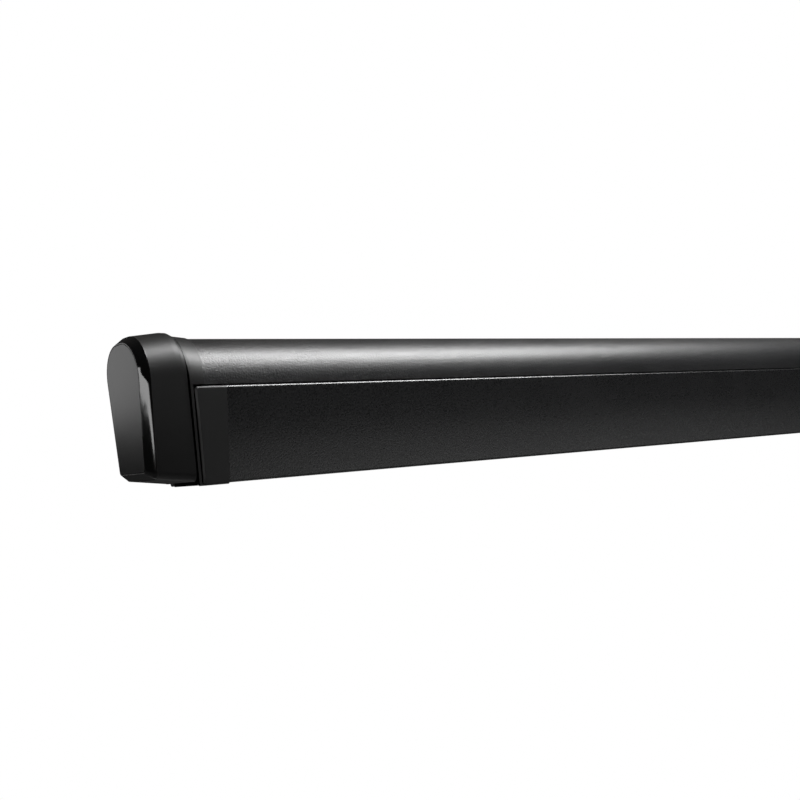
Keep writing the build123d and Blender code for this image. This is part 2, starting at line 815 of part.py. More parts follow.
# Crank shaft: a worm beside the wheel and, below the end cap, an eye for the crank hook
worm_x = wheel_x + wheel_width / 2
worm_u = hub[0] + wheel_radius + worm_core + gear_clear
crank_low_v = cap_low_v - crank_drop
eye_v = crank_low_v - crank_eye_radius
eye_plane = Plane(origin=(worm_x, -worm_u, eye_v), x_dir=(1, 0, 0), z_dir=(0, -1, 0))
with BuildPart() as crank_shaft:
    with BuildSketch(eye_plane):
        Circle(crank_eye_radius + crank_eye_wire)
        Circle(crank_eye_radius - crank_eye_wire, mode=Mode.SUBTRACT)
    extrude(amount=crank_eye_wire, both=True)
    outer_rims = crank_shaft.edges().filter_by(GeomType.CIRCLE).sort_by(SortBy.LENGTH)[-2:]
    chamfer(outer_rims, edge_radius)
    with BuildSketch(level(crank_low_v)):
        with Locations((worm_x, -worm_u)):
            Circle(worm_core)
    extrude(amount=hub[1] + worm_above - crank_low_v)
    with BuildSketch(level(crank_low_v - crank_eye_wire)):
        with Locations((worm_x, -worm_u)):
            Circle(worm_core + crank_eye_wire / 2)
    extrude(amount=3 * crank_eye_wire)
save(crank_shaft, "crank_shaft")


# Gearbox: a case seated on the right end plate and a cover, closed round wheel and worm
def gearbox_outline(grow):
    with Locations(hub):
        Circle(wheel_radius + gearbox_room + grow)
    worm_room = worm_radius + gearbox_room + grow
    with Locations((worm_u, hub[1])):
        Rectangle(2 * worm_room, 2 * (worm_above + grow))
    with Locations(((hub[0] + worm_u) / 2, hub[1])):
        Rectangle(worm_u - hub[0], 2 * (worm_above - gearbox_wall))


gearbox_in_x = wheel_x - gearbox_room
gearbox_out_x = wheel_x + wheel_width + gearbox_room
with BuildPart() as gearbox_case:
    with BuildSketch(section(gearbox_out_x)) as outside:
        gearbox_outline(gearbox_wall)
    extrude(outside.sketch, amount=gearbox_out_x - gearbox_in_x + gearbox_wall)
    with BuildSketch(section(gearbox_out_x)) as inside:
        gearbox_outline(0)
    extrude(inside.sketch, amount=gearbox_out_x - gearbox_in_x, mode=Mode.SUBTRACT)
    with BuildSketch(section(gearbox_out_x)) as stub_hole:
        with Locations(hub):
            Circle(stub_radius + plug_clear)
    extrude(stub_hole.sketch, amount=overrun, mode=Mode.SUBTRACT)
    with BuildSketch(level(hub[1])) as shaft_hole:
        with Locations((worm_x, -worm_u)):
            Circle(worm_core + stub_clear)
    extrude(shaft_hole.sketch, amount=-2 * overrun, mode=Mode.SUBTRACT)
save(gearbox_case, "gearbox_case")

with BuildPart() as gearbox_cover:
    with BuildSketch(section(gearbox_out_x + gearbox_wall)) as cover_plan:
        gearbox_outline(gearbox_wall)
    extrude(cover_plan.sketch, amount=gearbox_wall)
save(gearbox_cover, "gearbox_cover")

# Right end cap: the left one mirrored, with a hole below for the crank shaft
with BuildPart() as right_cap:
    mirror(end_cap.part, about=Plane.YZ)
    with BuildSketch(level(cap_low_v - overrun)) as crank_opening:
        with Locations((worm_x, -worm_u)):
            Circle(crank_hole)
    extrude(crank_opening.sketch, amount=3 * overrun, mode=Mode.SUBTRACT)
save(right_cap, "end_cap_right")

# Support legs, folded into the lead rail: the left one in the upper lane, the right in the lower
leg_u = rail_back_u + rail_wall + leg_wall_gap + leg_tube / 2
lanes = (("left", 1, floor_v + leg_lane_high), ("right", -1, floor_v + leg_lane_low))


def leg_block(x_from, x_to, lane_v, width, height, corner, mode=Mode.ADD):
    """Rounded bar along the rail between two places, centred in a leg's lane."""
    with BuildSketch(section(max(x_from, x_to))) as bar:
        with Locations((leg_u, lane_v)):
            RectangleRounded(width, height, corner)
    extrude(bar.sketch, amount=abs(x_to - x_from), mode=mode)


def cross_pin(x, v, u_from, u_to, radius, mode=Mode.ADD):
    """Round bar across the rail, from one distance off the wall to another."""
    with BuildSketch(Plane(origin=(x, -u_from, v), x_dir=(1, 0, 0), z_dir=(0, -1, 0))) as round_bar:
        Circle(radius)
    extrude(round_bar.sketch, amount=u_to - u_from, mode=mode)


leg_low_u = leg_u - leg_tube / 2
leg_high_u = leg_u + leg_tube / 2
pin_in_u = rail_back_u + rail_wall
with BuildPart() as leg_pins:
    for side, inward, lane_v in lanes:
        pin_x = -inward * (rail_end_x - leg_pivot_inset)
        cross_pin(pin_x, lane_v, pin_in_u, leg_high_u + leg_wall_gap, leg_pin_radius)
save(leg_pins, "leg_hinge_pins")

for side, inward, lane_v in lanes:
    leg_x = -inward * (rail_end_x - leg_pivot_inset)
    tube_from = leg_x
    tube_to = leg_x + inward * leg_length
    inside_width = leg_tube - 2 * leg_wall
    inside_height = leg_tube_height - 2 * leg_wall
    collar_from = tube_to - inward * collar_length
    lever_x = tube_to - inward * collar_length / 2
    lever_v = lane_v - leg_tube_height / 2 - collar_skin / 2 - lever_eye
    foot_x = tube_to + inward * (leg_inner_clear + foot_eye)
    with BuildPart() as leg_outer:
        leg_block(tube_from, tube_to, lane_v, leg_tube, leg_tube_height, leg_corner)
        cross_pin(leg_x, lane_v, leg_low_u, leg_high_u, leg_tube_height / 2)
        leg_block(
            leg_x + inward * leg_tube_height, tube_to + inward * overrun, lane_v,
            inside_width, inside_height, leg_corner - leg_wall, Mode.SUBTRACT,
        )
        pin_hole = leg_pin_radius + pin_clear
        cross_pin(leg_x, lane_v, leg_low_u - overrun, leg_high_u + overrun, pin_hole, Mode.SUBTRACT)
    save(leg_outer, f"leg_outer_tube_{side}")

    with BuildPart() as leg_collar:
        collar_width = leg_tube + 2 * collar_skin
        collar_height = leg_tube_height + 2 * collar_skin
        leg_block(collar_from, tube_to, lane_v, collar_width, collar_height, leg_corner)
        for ear_u in (leg_low_u, leg_high_u - lever_thickness):
            cross_pin(lever_x, lever_v, ear_u, ear_u + lever_thickness, lever_eye)
            with BuildSketch(section(lever_x + lever_eye)) as ear:
                slab(ear_u, ear_u + lever_thickness, lever_v, lane_v - leg_tube_height / 2)
            extrude(ear.sketch, amount=2 * lever_eye)
        leg_block(
            collar_from - inward * overrun, tube_to + inward * overrun, lane_v,
            leg_tube, leg_tube_height, leg_corner, Mode.SUBTRACT,
        )
        small_hole = lever_pin_radius + pin_clear
        cross_pin(lever_x, lever_v, leg_low_u - overrun, leg_high_u + overrun, small_hole, Mode.SUBTRACT)
    save(leg_collar, f"leg_collar_{side}")

    with BuildPart() as clamp_lever:
        lever_low_u = leg_low_u + lever_thickness + leg_inner_clear
        lever_high_u = leg_high_u - lever_thickness - leg_inner_clear
        cross_pin(lever_x, lever_v, lever_low_u, lever_high_u, lever_eye - plug_clear)
        cross_pin(lever_x, lever_v, leg_low_u, leg_high_u, lever_pin_radius)
        with BuildSketch(section(max(lever_x, lever_x - inward * lever_length))) as lever:
            slab(lever_low_u, lever_high_u, lever_v - lever_thickness / 2, lever_v + lever_thickness / 2)
        extrude(lever.sketch, amount=lever_length)
    save(clamp_lever, f"leg_clamp_lever_{side}")

    with BuildPart() as leg_inner:
        bar_width = inside_width - 2 * leg_inner_clear
        bar_height = inside_height - 2 * leg_inner_clear
        leg_block(
            leg_x + inward * (leg_tube_height + leg_inner_clear), tube_to, lane_v,
            bar_width, bar_height, leg_corner - leg_wall,
        )
        leg_block(
            leg_x + inward * leg_tube_height, tube_to - inward * foot_eye, lane_v,
            bar_width - 2 * leg_wall, bar_height - 2 * leg_wall, leg_inner_clear, Mode.SUBTRACT,
        )
        cross_pin(foot_x, lane_v, leg_u - foot_width / 4, leg_u + foot_width / 4, foot_eye)
        leg_block(tube_to, foot_x, lane_v, foot_width / 2, foot_eye, leg_inner_clear)
        cross_pin(foot_x, lane_v, leg_u - overrun, leg_u + overrun, small_hole, Mode.SUBTRACT)
    save(leg_inner, f"leg_inner_tube_{side}")

    # Foot: two cheeks on the tongue's pin and a slotted pad, in line when folded
    with BuildPart() as foot:
        cheek = foot_width / 4 + leg_inner_clear
        for cheek_u in (leg_u - cheek - foot_thickness / 2, leg_u + cheek):
            cross_pin(foot_x, lane_v, cheek_u, cheek_u + foot_thickness / 2, foot_eye)
            with BuildSketch(section(max(foot_x, foot_x + inward * foot_length))) as side_bar:
                slab(cheek_u, cheek_u + foot_thickness / 2, lane_v - foot_eye, lane_v + foot_eye)
            extrude(side_bar.sketch, amount=foot_length)
        pad_from = foot_x + inward * 2 * foot_eye
        leg_block(
            pad_from, foot_x + inward * foot_length, lane_v,
            leg_tube, foot_thickness, leg_inner_clear,
        )
        pin_reach = cheek + foot_thickness / 2
        cross_pin(foot_x, lane_v, leg_u - pin_reach, leg_u + pin_reach, lever_pin_radius)
    save(foot, f"leg_foot_{side}")

# Screws: end plates into the case's bosses, end caps into the plates' posts
with BuildPart() as left_screws:
    for u, v in bosses:
        seat = Plane(origin=(-screw_seat_x(v), -u, v), z_dir=(-1, 0, 0))
        with BuildSketch(seat):
            Circle(screw_head_radius)
        extrude(amount=screw_head_height)
        with BuildSketch(seat):
            Circle(boss_bore - pin_clear)
        extrude(amount=-screw_length)
    with BuildSketch(screw_plane):
        with Locations(low_post, high_post):
            Circle(screw_head_radius)
    extrude(amount=screw_head_height)
    with BuildSketch(screw_plane):
        with Locations(low_post, high_post):
            Circle(screw_shank_radius - pin_clear)
    extrude(amount=-screw_length)
with BuildPart() as end_screws:
    add(left_screws.part)
    mirror(left_screws.part, about=Plane.YZ)
save(end_screws, "end_plate_screws")
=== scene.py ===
# %% [markdown]
# # A roll out awning, closed on its wall brackets
# The awning is a long extruded case with moulded ends. A lead rail closes its front, and inside lie
# the roller with the canopy, two folding arms and two support legs. The construction comes ready
# made as a frame of parts, and this lesson dresses it: the camera and the light first, then each
# finish, then the cloth.

# %% Load the frame
import json
import math

import bpy
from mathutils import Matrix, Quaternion, Vector


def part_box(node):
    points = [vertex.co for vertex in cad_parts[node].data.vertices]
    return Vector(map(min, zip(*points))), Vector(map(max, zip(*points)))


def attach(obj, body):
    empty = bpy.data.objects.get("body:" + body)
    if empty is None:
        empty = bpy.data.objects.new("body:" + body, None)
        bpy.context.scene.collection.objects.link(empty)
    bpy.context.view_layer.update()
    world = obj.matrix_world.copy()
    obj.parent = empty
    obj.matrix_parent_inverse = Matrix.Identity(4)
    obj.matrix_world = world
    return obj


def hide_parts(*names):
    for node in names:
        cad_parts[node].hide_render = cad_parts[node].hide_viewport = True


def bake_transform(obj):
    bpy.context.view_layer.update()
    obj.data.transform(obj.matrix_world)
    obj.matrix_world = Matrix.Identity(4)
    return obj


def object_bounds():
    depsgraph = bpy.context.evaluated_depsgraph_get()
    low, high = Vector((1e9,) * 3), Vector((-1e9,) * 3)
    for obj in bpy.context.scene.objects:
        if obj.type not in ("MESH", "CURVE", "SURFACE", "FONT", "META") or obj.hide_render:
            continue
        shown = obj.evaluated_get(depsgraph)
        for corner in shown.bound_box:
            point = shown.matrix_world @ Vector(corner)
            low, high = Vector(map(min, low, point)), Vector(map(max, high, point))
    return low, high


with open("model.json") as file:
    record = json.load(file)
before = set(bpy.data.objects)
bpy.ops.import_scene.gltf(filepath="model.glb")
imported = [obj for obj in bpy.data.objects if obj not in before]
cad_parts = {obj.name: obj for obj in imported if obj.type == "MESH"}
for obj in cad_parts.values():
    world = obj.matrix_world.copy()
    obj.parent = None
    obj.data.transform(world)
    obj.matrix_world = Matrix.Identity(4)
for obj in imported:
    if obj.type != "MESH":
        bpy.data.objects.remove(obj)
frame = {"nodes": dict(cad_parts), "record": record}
nodes = frame["nodes"]
cad_low, cad_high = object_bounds()
print("frame of", len(nodes), "parts,", tuple(round(c, 3) for c in cad_high - cad_low), "metres over all")

# %% [markdown]
# ## The photographer's place
# The picture was taken from the front left, level with the foot of the lead rail and tipped up a
# little, with the camera rolled clockwise, so that the picture leans the other way. A camera can be
# set by eye, but here all long edges run to one vanishing point far to the right, and for a 50 mm
# lens that point fixes the heading. The place is measured from the left foot of the lead rail, so
# that it follows the model.

# %% Camera
LENS = 50.0
SENSOR = 36.0
CLIP_NEAR, CLIP_FAR = 0.01, 50.0
HEADING = math.radians(36.2)
TILT_UP = math.radians(3.107)
ROLL = math.radians(-4.683)
RAIL_FOOT_Y = -0.0846
CAMERA_FROM_RAIL_FOOT = Vector((-0.5127, -0.9981, 0.0079))

rail_low, rail_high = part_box("lead_rail")
rail_foot = Vector((rail_low.x, RAIL_FOOT_Y, rail_low.z))
sight = Vector((
    math.sin(HEADING) * math.cos(TILT_UP),
    math.cos(HEADING) * math.cos(TILT_UP),
    math.sin(TILT_UP),
))
camera_data = bpy.data.cameras.new("camera")
camera_data.lens = LENS
camera_data.sensor_width = SENSOR
camera_data.clip_start = CLIP_NEAR
camera_data.clip_end = CLIP_FAR
camera = bpy.data.objects.new("camera", camera_data)
bpy.context.scene.collection.objects.link(camera)
camera.location = rail_foot + CAMERA_FROM_RAIL_FOOT
camera.rotation_mode = "QUATERNION"
camera.rotation_quaternion = sight.to_track_quat("-Z", "Y") @ Quaternion((0, 0, 1), ROLL)
bpy.context.scene.camera = camera
print("camera at", tuple(round(c, 3) for c in camera.location))

# %% [markdown]
# ## Floor and walls
# A pale floor lies where the support legs reach when they stand, and the studio looks white all
# round, as in the photograph. Walls that really shone so white would fill a black part with grey
# light. So floor and walls have two shaders each, and a light path node picks: the camera sees
# white, and the part gets only a faint light from them.


# %% White for the camera only
def white_for_camera(tree, plain, white, outlet):
    """Shows the white shader to the camera and the plain one to all other rays."""
    path = tree.nodes.new("ShaderNodeLightPath")
    pick = tree.nodes.new("ShaderNodeMixShader")
    tree.links.new(path.outputs["Is Camera Ray"], pick.inputs["Fac"])
    tree.links.new(plain.outputs[0], pick.inputs[1])
    tree.links.new(white.outputs[0], pick.inputs[2])
    tree.links.new(pick.outputs["Shader"], outlet.inputs["Surface"])


print("camera switch ready")

# %% Floor
FLOOR_DROP = 1.95
FLOOR_SIZE = 60.0
PAPER_WHITE = 0.6
PAPER_ROUGHNESS = 0.9

floor_material = bpy.data.materials.new("floor_paper")
floor_material.use_nodes = True
tree = floor_material.node_tree
paper = tree.nodes["Principled BSDF"]
paper.inputs["Base Color"].default_value = (PAPER_WHITE, PAPER_WHITE, PAPER_WHITE, 1)
paper.inputs["Roughness"].default_value = PAPER_ROUGHNESS
glow = tree.nodes.new("ShaderNodeEmission")
glow.inputs["Color"].default_value = (1, 1, 1, 1)
white_for_camera(tree, paper, glow, tree.nodes["Material Output"])

bpy.ops.mesh.primitive_plane_add(size=FLOOR_SIZE, location=(0, 0, cad_low.z - FLOOR_DROP))
floor = bpy.context.object
floor.name = "floor"
floor.data.materials.append(floor_material)
print("floor at", round(cad_low.z - FLOOR_DROP, 3), "m")

# %% Studio walls
WALL_WHITE = 1.0
ROOM_LIGHT = 0.02

world = bpy.data.worlds.new("studio")
world.use_nodes = True
tree = world.node_tree
dim_walls = tree.nodes["Background"]
white_walls = tree.nodes.new("ShaderNodeBackground")
for walls, strength in ((dim_walls, ROOM_LIGHT), (white_walls, WALL_WHITE)):
    walls.inputs["Color"].default_value = (1, 1, 1, 1)
    walls.inputs["Strength"].default_value = strength
white_for_camera(tree, dim_walls, white_walls, tree.nodes["World Output"])
bpy.context.scene.world = world
bpy.context.scene.view_settings.view_transform = "Standard"
print("room light", ROOM_LIGHT)

# %% [markdown]
# ## Soft lamps
# On black parts the light is seen mostly as reflections, so each lamp stands where one surface
# mirrors it. A point lamp would show as a dot, and a sun would light everything alike. Five
# rectangles do it instead. The roof lamp draws the bright band along the rounded roof, the side lamp
# greys the flat end face, the tall end strip is mirrored in the glossy bevel, the low lamp lifts the
# rail's foot, and the back lamp shows the wall side in other views.

# %% Soft lamps
# Name: place and target from the near end, the two sides, all in metres, and the power in watts.
SOFTBOXES = {
    "roof_softbox": ((0.98, -0.49, 1.06), (0.98, -0.08, 0.05), (1.27, 0.38), 37.5),
    "side_softbox": ((-0.20, 0.42, 0.225), (0, -0.05, 0.225), (0.5, 0.47), 0.68),
    "end_strip": ((-0.865, -0.854, -0.016), (0, -0.099, 0.084), (0.122, 0.81), 2.1),
    "low_fill": ((4.65, -3.92, -1.53), (4.65, -0.08, -0.03), (5.5, 1.0), 16),
    "back_fill": ((1.3, 1.3, -1.6), (1.3, 0, -0.02), (3.2, 0.4), 2.2),
}

near_end = Vector((cad_low.x, 0, 0))
for name, (place, target, size, power) in SOFTBOXES.items():
    place = near_end + Vector(place)
    target = near_end + Vector(target)
    light = bpy.data.lights.new(name, "AREA")
    light.shape = "RECTANGLE"
    light.size, light.size_y = size
    light.energy = power
    lamp = bpy.data.objects.new(name, light)
    bpy.context.scene.collection.objects.link(lamp)
    lamp.location = place
    lamp.rotation_mode = "QUATERNION"
    lamp.rotation_quaternion = (target - place).to_track_quat("-Z", "Y")
    lamp.visible_camera = False
    print(name, "at", tuple(round(c, 2) for c in place))

# %% [markdown]
# ## Shared effects
# Real finishes are never even. That can be painted into images, but an image shows its dots close
# up and has to be laid out on every part, so here it is computed from noise. Four small node groups
# are built once and placed in the finishes with their own values: a fine grain for coatings and
# moulded plastic, a soft edge that rounds sharp corners and marks them as slightly rubbed, a dust
# film on what faces up, and a weave. All of them work in the part's own space, so they stay put
# when the arms unfold.


# %% Helpers for node groups
def new_group(name, inputs, outputs):
    """Empty shader group with named float sockets in and named sockets out."""
    group = bpy.data.node_groups.new(name, "ShaderNodeTree")
    for socket, default in inputs:
        made = group.interface.new_socket(name=socket, in_out="INPUT", socket_type="NodeSocketFloat")
        made.default_value = default
    for socket, kind in outputs:
        group.interface.new_socket(name=socket, in_out="OUTPUT", socket_type=kind)
    inlet = group.nodes.new("NodeGroupInput")
    outlet = group.nodes.new("NodeGroupOutput")
    return group, inlet, outlet


def math_node(tree, operation, first, second=None):
    """Math node fed by sockets or plain numbers; returns its output."""
    node = tree.nodes.new("ShaderNodeMath")
    node.operation = operation
    for socket, value in zip(node.inputs, (first, second)):
        if isinstance(value, (int, float)):
            socket.default_value = value
        elif value is not None:
            tree.links.new(value, socket)
    return node.outputs[0]


def spread(tree, value, low, high):
    """Smooth step of a value between two limits."""
    node = tree.nodes.new("ShaderNodeMapRange")
    node.interpolation_type = "SMOOTHSTEP"
    node.inputs["From Min"].default_value = low
    node.inputs["From Max"].default_value = high
    tree.links.new(value, node.inputs["Value"])
    return node.outputs["Result"]


def own_place(tree):
    """Where a point lies in its part's own space."""
    return tree.nodes.new("ShaderNodeTexCoord").outputs["Object"]


def own_noise(tree, rate, detail):
    """Noise in the part's own space; the rate comes from a socket."""
    node = tree.nodes.new("ShaderNodeTexNoise")
    node.inputs["Detail"].default_value = detail
    tree.links.new(own_place(tree), node.inputs["Vector"])
    tree.links.new(rate, node.inputs["Scale"])
    return node


print("node helpers ready")

# %% Grain group
FINE_SHARE = 0.82
FINE_DETAIL, FINE_ROUGHNESS = 3.0, 0.6
SLOW_DETAIL = 2.0
TONE_LIMITS = (0.34, 0.66)


def build_grain():
    """Two sizes of noise: fine coat texture and slow unevenness."""
    group, inlet, outlet = new_group(
        "fine_grain", [("Grains per metre", 900.0), ("Unevenness", 12.0)],
        [("Height", "NodeSocketFloat"), ("Tone", "NodeSocketFloat")],
    )
    fine = own_noise(group, inlet.outputs["Grains per metre"], FINE_DETAIL)
    fine.inputs["Roughness"].default_value = FINE_ROUGHNESS
    slow = own_noise(group, inlet.outputs["Unevenness"], SLOW_DETAIL)
    group.links.new(fine.outputs["Fac"], outlet.inputs["Height"])
    mixed = math_node(
        group, "ADD",
        math_node(group, "MULTIPLY", fine.outputs["Fac"], FINE_SHARE),
        math_node(group, "MULTIPLY", slow.outputs["Fac"], 1.0 - FINE_SHARE),
    )
    group.links.new(spread(group, mixed, *TONE_LIMITS), outlet.inputs["Tone"])
    return group


grain_group = build_grain()
print("group:", grain_group.name)

# %% Edge group
CORNER_SAMPLES = 4
BEND_LIMITS = (0.02, 0.2)
PATCH_DETAIL = 4.0
PATCH_LIMITS = (0.45, 0.7)


def build_edge():
    """Rounded normal at sharp corners, and a broken mask of where they are rubbed."""
    group, inlet, outlet = new_group(
        "rubbed_edge", [("Radius", 0.0008), ("Patches per metre", 60.0)],
        [("Mask", "NodeSocketFloat"), ("Normal", "NodeSocketVector")],
    )
    soft = group.nodes.new("ShaderNodeBevel")
    soft.samples = CORNER_SAMPLES
    group.links.new(inlet.outputs["Radius"], soft.inputs["Radius"])
    flat = group.nodes.new("ShaderNodeNewGeometry")
    dot = group.nodes.new("ShaderNodeVectorMath")
    dot.operation = "DOT_PRODUCT"
    group.links.new(soft.outputs["Normal"], dot.inputs[0])
    group.links.new(flat.outputs["Normal"], dot.inputs[1])
    bend = math_node(group, "SUBTRACT", 1.0, dot.outputs["Value"])
    patches = own_noise(group, inlet.outputs["Patches per metre"], PATCH_DETAIL)
    worn = math_node(
        group, "MULTIPLY",
        spread(group, bend, *BEND_LIMITS),
        spread(group, patches.outputs["Fac"], *PATCH_LIMITS),
    )
    group.links.new(worn, outlet.inputs["Mask"])
    group.links.new(soft.outputs["Normal"], outlet.inputs["Normal"])
    return group


edge_group = build_edge()
print("group:", edge_group.name)

# %% Dust group
UPWARD_LIMITS = (0.5, 1.0)
DRIFT_DETAIL = 5.0
DRIFT_LIMITS = (0.35, 0.75)


def build_dust():
    """Thin film on what faces up, in drifts."""
    group, inlet, outlet = new_group(
        "dust_film", [("Amount", 0.2), ("Drifts per metre", 9.0)], [("Mask", "NodeSocketFloat")],
    )
    facing = group.nodes.new("ShaderNodeSeparateXYZ")
    group.links.new(group.nodes.new("ShaderNodeNewGeometry").outputs["Normal"], facing.inputs["Vector"])
    drifts = own_noise(group, inlet.outputs["Drifts per metre"], DRIFT_DETAIL)
    film = math_node(
        group, "MULTIPLY",
        spread(group, facing.outputs["Z"], *UPWARD_LIMITS),
        spread(group, drifts.outputs["Fac"], *DRIFT_LIMITS),
    )
    group.links.new(math_node(group, "MULTIPLY", film, inlet.outputs["Amount"]), outlet.inputs["Mask"])
    return group


dust_group = build_dust()
print("group:", dust_group.name)

# %% Weave group
YARN_WANDER, YARN_DETAIL = 0.6, 1.0
FADES_PER_METRE = 5.0
FADE_LIMITS = (0.3, 0.7)


def build_weave():
    """Plain weave of yarns along and across the cloth, with slow colour drift."""
    group, inlet, outlet = new_group(
        "plain_weave", [("Yarns per metre", 900.0)],
        [("Height", "NodeSocketFloat"), ("Tone", "NodeSocketFloat")],
    )
    place = own_place(group)
    yarns = []
    for direction in ("X", "Y"):
        wave = group.nodes.new("ShaderNodeTexWave")
        wave.bands_direction = direction
        wave.inputs["Distortion"].default_value = YARN_WANDER
        wave.inputs["Detail"].default_value = YARN_DETAIL
        group.links.new(place, wave.inputs["Vector"])
        group.links.new(inlet.outputs["Yarns per metre"], wave.inputs["Scale"])
        yarns.append(wave.outputs["Fac"])
    group.links.new(math_node(group, "MULTIPLY", yarns[0], yarns[1]), outlet.inputs["Height"])
    fades = group.nodes.new("ShaderNodeTexNoise")
    fades.inputs["Scale"].default_value = FADES_PER_METRE
    group.links.new(place, fades.inputs["Vector"])
    group.links.new(spread(group, fades.outputs["Fac"], *FADE_LIMITS), outlet.inputs["Tone"])
    return group


weave_group = build_weave()
print("group:", weave_group.name)

# %% [markdown]
# ## Finishes
# A finish could be one flat colour, but then every part looks cast in the same wax. So each starts
# the same way: a base colour that drifts a little with the grain, rubbed edges of a second colour,
# a dust film, and a bump from the grain. What sets the finishes apart are the values on the shader
# itself, such as how rough, how metallic or how strongly it mirrors.


# %% Helpers for finishes
def place_group(tree, group, **values):
    """Group node in a material, with its inputs set by name (underscores for spaces)."""
    node = tree.nodes.new("ShaderNodeGroup")
    node.node_tree = group
    for name, value in values.items():
        node.inputs[name.replace("_", " ")].default_value = value
    return node


def blend_colour(tree, factor, first, second):
    """Colour mix; each colour is a socket or three numbers."""
    node = tree.nodes.new("ShaderNodeMix")
    node.data_type = "RGBA"
    tree.links.new(factor, node.inputs["Factor"])
    for socket, colour in ((node.inputs["A"], first), (node.inputs["B"], second)):
        if isinstance(colour, tuple):
            socket.default_value = (*colour, 1)
        else:
            tree.links.new(colour, socket)
    return node.outputs["Result"]


def value_between(tree, factor, low, high):
    """Value that runs from low to high as the factor runs from 0 to 1."""
    node = tree.nodes.new("ShaderNodeMapRange")
    node.inputs["To Min"].default_value = low
    node.inputs["To Max"].default_value = high
    tree.links.new(factor, node.inputs["Value"])
    return node.outputs["Result"]


print("colour helpers ready")

# %% One finish
DUST = (0.30, 0.28, 0.25)


def finish(
    name, dark, light, rubbed, rough,
    grains=900.0, relief=0.00012, dust=0.15, edge=0.0008, **shader_values,
):
    """Material with grain, rubbed edges and dust; rough is the range of its roughness."""
    material = bpy.data.materials.new(name)
    material.use_nodes = True
    tree = material.node_tree
    shader = tree.nodes["Principled BSDF"]
    for socket, value in shader_values.items():
        shader.inputs[socket.replace("_", " ")].default_value = value
    grain = place_group(tree, grain_group, Grains_per_metre=grains)
    edges = place_group(tree, edge_group, Radius=edge)
    film = place_group(tree, dust_group, Amount=dust)
    colour = blend_colour(tree, grain.outputs["Tone"], dark, light)
    colour = blend_colour(tree, edges.outputs["Mask"], colour, rubbed)
    colour = blend_colour(tree, film.outputs["Mask"], colour, DUST)
    tree.links.new(colour, shader.inputs["Base Color"])
    tree.links.new(value_between(tree, grain.outputs["Tone"], *rough), shader.inputs["Roughness"])
    bump = tree.nodes.new("ShaderNodeBump")
    bump.inputs["Distance"].default_value = relief
    tree.links.new(grain.outputs["Height"], bump.inputs["Height"])
    tree.links.new(edges.outputs["Normal"], bump.inputs["Normal"])
    tree.links.new(bump.outputs["Normal"], shader.inputs["Normal"])
    return material


print("finish helper ready")

# %% [markdown]
# ### Coated parts
# The case carries a fine textured powder coat, which breaks the light into small grains. Real grains
# would need millions of faces, so a bump from the grain does it. The lead rail has the same kind of
# coat, but smoother, so it shows the low lamp as a soft sheen. The wall brackets are painted, and
# the seal under the nose is rubber.

# %% Powder coats and rubber
powder_coat = finish(
    "powder_coat", (0.0045, 0.0046, 0.005), (0.010, 0.0103, 0.011), (0.08, 0.08, 0.082), (0.34, 0.45),
    grains=500.0, relief=0.00038, dust=0.05, edge=0.0006, Specular_IOR_Level=0.8,
)
rail_coat = finish(
    "rail_coat", (0.004, 0.0041, 0.0044), (0.008, 0.0082, 0.0088), (0.06, 0.06, 0.06), (0.24, 0.34),
    grains=560.0, relief=0.00016, dust=0.05, edge=0.0004, Specular_IOR_Level=0.8,
)
bracket_coat = finish(
    "bracket_coat", (0.04, 0.04, 0.043), (0.055, 0.055, 0.058), (0.2, 0.2, 0.2), (0.4, 0.55),
)
rubber = finish(
    "rubber", (0.012, 0.012, 0.012), (0.02, 0.02, 0.02), (0.05, 0.05, 0.05), (0.6, 0.8),
    grains=1500.0, relief=0.00005,
)
print("coated finishes:", powder_coat.name, rail_coat.name, bracket_coat.name, rubber.name)

# %% [markdown]
# ### Moulded ends
# The ends are black mouldings, satin with a faint spark texture. The flat face on the end cap is a
# little greyer and smoother. All the plastics but that one come from one helper, which only lets the
# radius of the edges and the strength of the mirroring differ.


# %% Satin plastics
def moulded(name, edge, mirroring):
    """Black plastic as it comes from a spark eroded mould."""
    return finish(
        name, (0.0035, 0.0035, 0.0036), (0.0055, 0.0055, 0.0057), (0.03, 0.03, 0.03), (0.42, 0.5),
        grains=2200.0, relief=0.00004, dust=0.05, edge=edge, Specular_IOR_Level=mirroring,
    )


satin_plastic = moulded("satin_plastic", 0.0008, 0.61)
plate_plastic = moulded("plate_plastic", 0.0008, 0.61)
gloss_plastic = moulded("gloss_plastic", 0.0006, 0.5)
side_face = finish(
    "side_face", (0.011, 0.0112, 0.0113), (0.015, 0.0153, 0.0155), (0.05, 0.05, 0.05), (0.30, 0.36),
    grains=2200.0, relief=0.00003, dust=0.05, edge=0.0005, Specular_IOR_Level=0.8,
)
print("plastics:", satin_plastic.name, plate_plastic.name, gloss_plastic.name, side_face.name)

# %% [markdown]
# ### Polished bevel and dark seam
# The cap is one moulding, but its bevel is polished like piano lacquer and its skirt is satin, and
# where the cap meets the plate a hair of shadow runs round, which is painted in. Both could be cut out
# as pieces of their own, but then the frame's parts would change. Instead each is a stripe in the
# finish: the polish is a stripe of low roughness, and the shadow is a stripe of painted black. All end
# parts lean alike, so a stripe is a range of one distance: outboard of the lead rail's end, along the
# lean.

# %% Distance outboard
END_SLOPE = 0.073


def outward_from_rail(tree):
    """Distance outboard of the lead rail's end, measured along the leaning ends."""
    place = tree.nodes.new("ShaderNodeSeparateXYZ")
    tree.links.new(own_place(tree), place.inputs["Vector"])
    along = math_node(tree, "ABSOLUTE", place.outputs["X"])
    above = math_node(tree, "SUBTRACT", place.outputs["Z"], rail_high.z)
    lean = math_node(tree, "MULTIPLY", above, END_SLOPE)
    return math_node(tree, "SUBTRACT", math_node(tree, "SUBTRACT", along, rail_high.x), lean)


